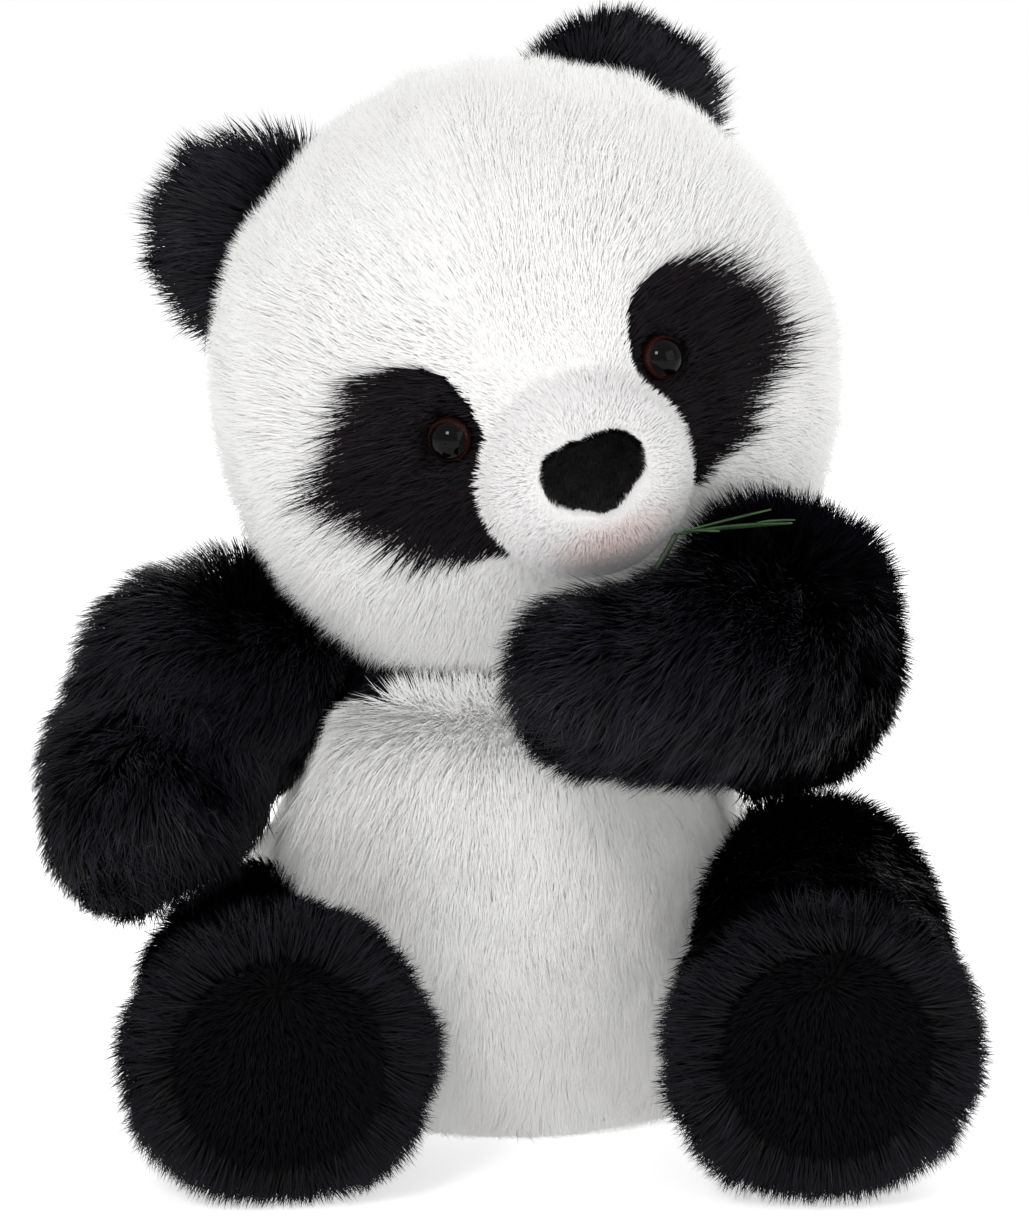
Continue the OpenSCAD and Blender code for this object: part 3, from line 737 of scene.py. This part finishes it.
def nose_piece():
    """A velour pad that sits into the muzzle's pile, with a short nap on it."""
    sunk, sunk_behind = 6.2, 3.4     # mm
    grown, lifted = 1.13, -6.5       # about the muzzle's middle; degrees
    per_square_mm = 9
    rng = np.random.default_rng(31)
    v, t, n = outer_surface(["nose"], 0.0008, 6)
    center = HEAD_AT + HEAD_TURN @ MUZZLE_AT
    out = unit(v - center)
    behind = ramp(-(n * out).sum(1), -0.2, 0.6)
    v = v - out * ((sunk + behind * sunk_behind) * MM)[:, None]
    lift = np.array(Matrix.Rotation(math.radians(lifted), 3, "X"))
    v = center + grown * ((v - center) @ HEAD_TURN @ lift.T @ HEAD_TURN.T)
    n = n @ HEAD_TURN @ lift.T @ HEAD_TURN.T
    out = unit(v - center)
    dimple = drift(v, 0.011, 5)[:, 0]
    v = v + out * ((1 - behind) * (0.35 * dimple) * MM)[:, None]
    area = areas(v, t)
    hairs = np.floor(area * per_square_mm * DENSITY + rng.random(len(t))).astype(int)
    face = np.repeat(np.arange(len(t)), hairs)
    w = rng.dirichlet((1, 1, 1), len(face))
    roots = weighed(v, t[face], w)
    up = unit(weighed(n, t[face], w))
    flow = np.tile(DOWN, (len(face), 1)) + drift(roots, 0.004, 8) * 0.9
    lean = np.stack([20 + 0 * face, 45 + 12 * drift(roots, 0.003, 9)[:, 0]], axis=1).astype(float)
    length = (1.4 + 1.3 * rng.random(len(face)) * (1 + drift(roots, 0.003, 7)[:, 1])) * MM
    fv, ft, fuv, fn = lay_pile(roots, up, flow, length, lean, 0.3 * MM + 0 * length, 2, 0.3, rng)
    piece = cloth_and_pile("nose_pad", v, t, n, fv, ft, fuv, fn, rng)
    piece.data.materials.append(NOSE)
    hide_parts("nose")
    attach(piece, "head")


nose_piece()


# ---- Eyes ----

def strip_triangles(rows, across, closed):
    """Triangles between rows of points, each row a ring when closed."""
    tris = []
    for r in range(rows - 1):
        for k in range(across if closed else across - 1):
            a, b = r * across + k, r * across + (k + 1) % across
            tris += [(a, b, b + across), (a, b + across, a + across)]
    return tris


def lathe(rings, segments):
    """Vertices, triangles and uv of a turned form about +Z: rings are (radius, height, v)."""
    verts, uv = [], []
    for radius, height, mark in rings:
        for k in range(segments):
            a = 2 * math.pi * k / segments
            verts.append((radius * math.cos(a), radius * math.sin(a), height))
            uv.append((k / segments, mark))
    return np.array(verts), np.array(strip_triangles(len(rings), segments, True)), np.array(uv)


def eye_piece(name, center):
    """A safety eye: a glossy dome and its stem, along the line from the head's middle to center."""
    dome = []
    for degrees in np.linspace(88, 0, 26):
        out, up = math.cos(math.radians(degrees)), math.sin(math.radians(degrees))
        dome.append((max(EYE_RADIUS * out, 0.02), EYE_BASE + EYE_DOME * up, out * 0.98))
    shank = [(EYE_RADIUS, EYE_BASE - 0.8, 0.99)] + [
        (radius, EYE_BASE - back, 1.0) for radius, back in (
            (EYE_RADIUS - 0.5, 1.2), (2.6, 1.3), (2.0, 2.0), (2.0, 13), (1.5, 13.5), (0.02, 13.5),
        )
    ]
    v, t, uv = lathe(dome + shank, 56)
    t = t[:, ::-1]
    turn = np.array(Vector((0, 0, 1)).rotation_difference(Vector(center)).to_matrix())
    v = HEAD_AT + ((v * MM) @ turn.T) @ HEAD_TURN.T
    piece = to_object(name + "_dome", v, t, uv)
    piece.data.shade_smooth()
    piece.data.materials.append(EYE)
    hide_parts(name)
    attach(piece, "head")


eye_piece("left_eye", EYES_AT[0])
eye_piece("right_eye", EYES_AT[1])


# ---- Filling and joints ----

def filling(node, seed):
    """Loose fibre: the room inside the skin, lumped and teased a little inwards."""
    v, t, n = outer_surface([node], 0.0045, 3)
    lump = drift(v, 0.018, seed)[:, 0] + 0.4 * drift(v, 0.006, seed + 1)[:, 0]
    v = v - n * ((1.2 + 0.8 * lump) * MM)[:, None]
    piece = to_object(node + "_fibre", v, t)
    piece.data.shade_smooth()
    piece.data.materials.append(FIBRE)
    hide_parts(node)
    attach(piece, BODY_OF[node])


for number, node in enumerate(n for n in SUBPARTS if n.endswith("stuffing")):
    filling(node, 60 + number)
for node, slot in SUBPARTS.items():
    if slot == "joint_plastic":
        data = frame["nodes"][node].data
        data.materials.clear()
        data.materials.append(PLASTIC)


# ---- Bamboo ----

def tube(points, radii, sides=10):
    """A bent tube through points."""
    points = np.array(points, float)
    way = unit(np.gradient(points, axis=0))
    verts, uv = [], []
    for k, (p, d, r) in enumerate(zip(points, way, radii)):
        u = unit(np.cross(d, [0.3, 1, 0.1]))
        w = np.cross(d, u)
        for s in range(sides):
            a = 2 * math.pi * s / sides
            verts.append(p + r * (math.cos(a) * u + math.sin(a) * w))
            uv.append((s / sides, k / (len(points) - 1)))
    tris = strip_triangles(len(points), sides, True)
    for first in (0, (len(points) - 1) * sides):
        for s in range(1, sides - 1):
            tri = (first, first + s + 1, first + s)
            tris.append(tri if first == 0 else tri[::-1])
    return np.array(verts), np.array(tris), np.array(uv)


def blade(foot, tip, width, droop, twist):
    """A leaf: pointed at both ends, folded along its midrib and drooping to its tip."""
    foot, tip = np.array(foot, float), np.array(tip, float)
    along = tip - foot
    side = unit(np.cross(along, [0, 0.35, 1]))
    verts, rows = [], 22
    for k in range(rows + 1):
        s = k / rows
        half = width / 2 * max(math.sin(math.pi * s ** 0.75), 0.02)
        mid = foot + along * s - np.array([0, 0, droop * s * s])
        turn = Matrix.Rotation(twist * s, 3, Vector(unit(along)))
        across = np.array(turn @ Vector(side))
        up = unit(np.cross(across, along))
        for f in (-1, -0.5, 0, 0.5, 1):
            verts.append(mid + across * half * f + up * (abs(f) * half * 0.28))
    uv = np.array([(f / 4, k / rows) for k in range(rows + 1) for f in range(5)])
    return np.array(verts), np.array(strip_triangles(rows + 1, 5, False)), uv


def bamboo_leaves(foot):
    """Narrow leaf blades from the foot, as one piece."""
    verts, tris, uv, count = [], [], [], 0
    for start, tip, width, droop, twist in (
        ((0, 0, 0), (31, -1, 9), 2.55, 0.5, 0.5), ((1, 0, 0), (38, -1, 5.5), 3.15, 1.6, -0.4),
        ((26, -1.5, 4), (39, 1, 5), 2.4, 0.3, 0.3), ((2, 0, 1), (14, -6, 3), 1.95, 1.0, 0.8),
    ):
        v, t, u = blade(foot + np.array(start) * MM, foot + np.array(tip) * MM, width * MM, droop * MM, twist)
        verts.append(v)
        tris.append(t + count)
        uv.append(u)
        count += len(v)
    piece = to_object("bamboo_leaf_blades", np.concatenate(verts), np.concatenate(tris), np.concatenate(uv))
    thick = piece.modifiers.new("thick", "SOLIDIFY")
    thick.thickness = 0.0005
    piece.data.shade_smooth()
    piece.data.materials.append(LEAF)
    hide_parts("bamboo_leaves")
    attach(piece, "left_arm")


def bamboo_stem(foot):
    """The stalk from inside the paw up to the leaves' foot, with a thicker ring at each joint."""
    low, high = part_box("bamboo_stem")
    bottom = np.array([low[0] + 1.5 * MM, (low[1] + high[1]) / 2, low[2]])
    rows, radius, bow = 26, 1.1 * MM, 1.5 * MM
    line, radii = [], []
    for k, s in enumerate(np.linspace(0, 1, rows)):
        line.append(bottom + (foot - bottom) * s + np.array([0, -bow * math.sin(math.pi * s), 0]))
        radii.append(radius * (1.25 if k % 9 == 5 else 1) * (1.1 - 0.3 * k / rows))
    v, t, uv = tube(line, radii)
    piece = to_object("bamboo_stem_stalk", v, t, uv)
    piece.data.shade_smooth()
    piece.data.materials.append(STEM)
    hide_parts("bamboo_stem")
    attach(piece, "left_arm")


leaves_low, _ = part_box("bamboo_leaves")
LEAF_FOOT = np.array([leaves_low[0] - 1.5 * MM, leaves_low[1] + 4 * MM, leaves_low[2] + 2 * MM])
bamboo_leaves(LEAF_FOOT)
bamboo_stem(LEAF_FOOT)


# ---- Floor, light and camera ----

def seen_by_camera(tree, hidden, seen):
    """A strength that is one value for light on the object and another where the camera looks."""
    path = tree.nodes.new("ShaderNodeLightPath")
    strength = tree.nodes.new("ShaderNodeMapRange")
    strength.inputs["To Min"].default_value = hidden
    strength.inputs["To Max"].default_value = seen
    tree.links.new(path.outputs["Is Camera Ray"], strength.inputs["Value"])
    return strength.outputs["Result"]


def paper_floor():
    """A plain pale floor, brighter where the camera looks than for the light on the object."""
    bpy.ops.mesh.primitive_plane_add(size=6, location=(0, 0, 0))
    floor = bpy.context.object
    floor.name = "floor"
    m, tree, shader = new_material("floor_paper")
    grain = noise_node(tree, 40, 3)
    tone = ramp_node(tree, [(0.3, (0.9, 0.9, 0.9)), (0.7, (0.92, 0.92, 0.92))])
    tree.links.new(grain.outputs["Fac"], tone.inputs["Fac"])
    tree.links.new(tone.outputs["Color"], shader.inputs["Base Color"])
    shader.inputs["Roughness"].default_value = 0.9
    shader.inputs["Specular IOR Level"].default_value = 0.1
    shader.inputs["Emission Color"].default_value = (1, 1, 1, 1)
    glow = seen_by_camera(tree, 0.3, 0.6)
    tree.links.new(glow, shader.inputs["Emission Strength"])
    floor.data.materials.append(m)


def studio_light():
    """A white surround, a soft key from the front left, a fill and a rim light."""
    world = bpy.data.worlds.new("studio")
    bpy.context.scene.world = world
    world.use_nodes = True
    tree = world.node_tree
    background = tree.nodes["Background"]
    background.inputs["Color"].default_value = (1, 1, 1, 1)
    tree.links.new(seen_by_camera(tree, 0.59, 1.0), background.inputs["Strength"])
    aim = Vector((0, -0.03, 0.19))
    for name, at, size, power in (
        ("key", (-0.55, -1.5, 1.2), 0.4, 12),
        ("fill", (1.3, -1.1, 0.7), 1.2, 5),
        ("rim", (0.4, 1.2, 1.2), 0.9, 9),
    ):
        light = bpy.data.lights.new(name, "AREA")
        light.size = size
        light.energy = power
        ob = bpy.data.objects.new(name, light)
        ob.location = at
        ob.rotation_euler = (aim - Vector(at)).to_track_quat("-Z", "Y").to_euler()
        bpy.context.collection.objects.link(ob)


def camera():
    """In front of the toy and 10 degrees above it, framed for the 1028 x 1228 photograph."""
    distance, elevation, frame_width = 1.9, math.radians(10), 0.3475
    target = Vector((0.0013, -0.08, 0.1888))
    cam = bpy.data.cameras.new("camera")
    cam.sensor_fit = "HORIZONTAL"
    cam.sensor_width = 36
    cam.lens = cam.sensor_width * distance / frame_width
    cam.clip_start, cam.clip_end = 0.1, 20
    ob = bpy.data.objects.new("camera", cam)
    ob.location = target + distance * Vector((0, -math.cos(elevation), math.sin(elevation)))
    ob.rotation_euler = (math.radians(90) - elevation, 0, 0)
    bpy.context.collection.objects.link(ob)
    bpy.context.scene.camera = ob


paper_floor()
studio_light()
camera()
bpy.context.scene.view_settings.view_transform = "Standard"
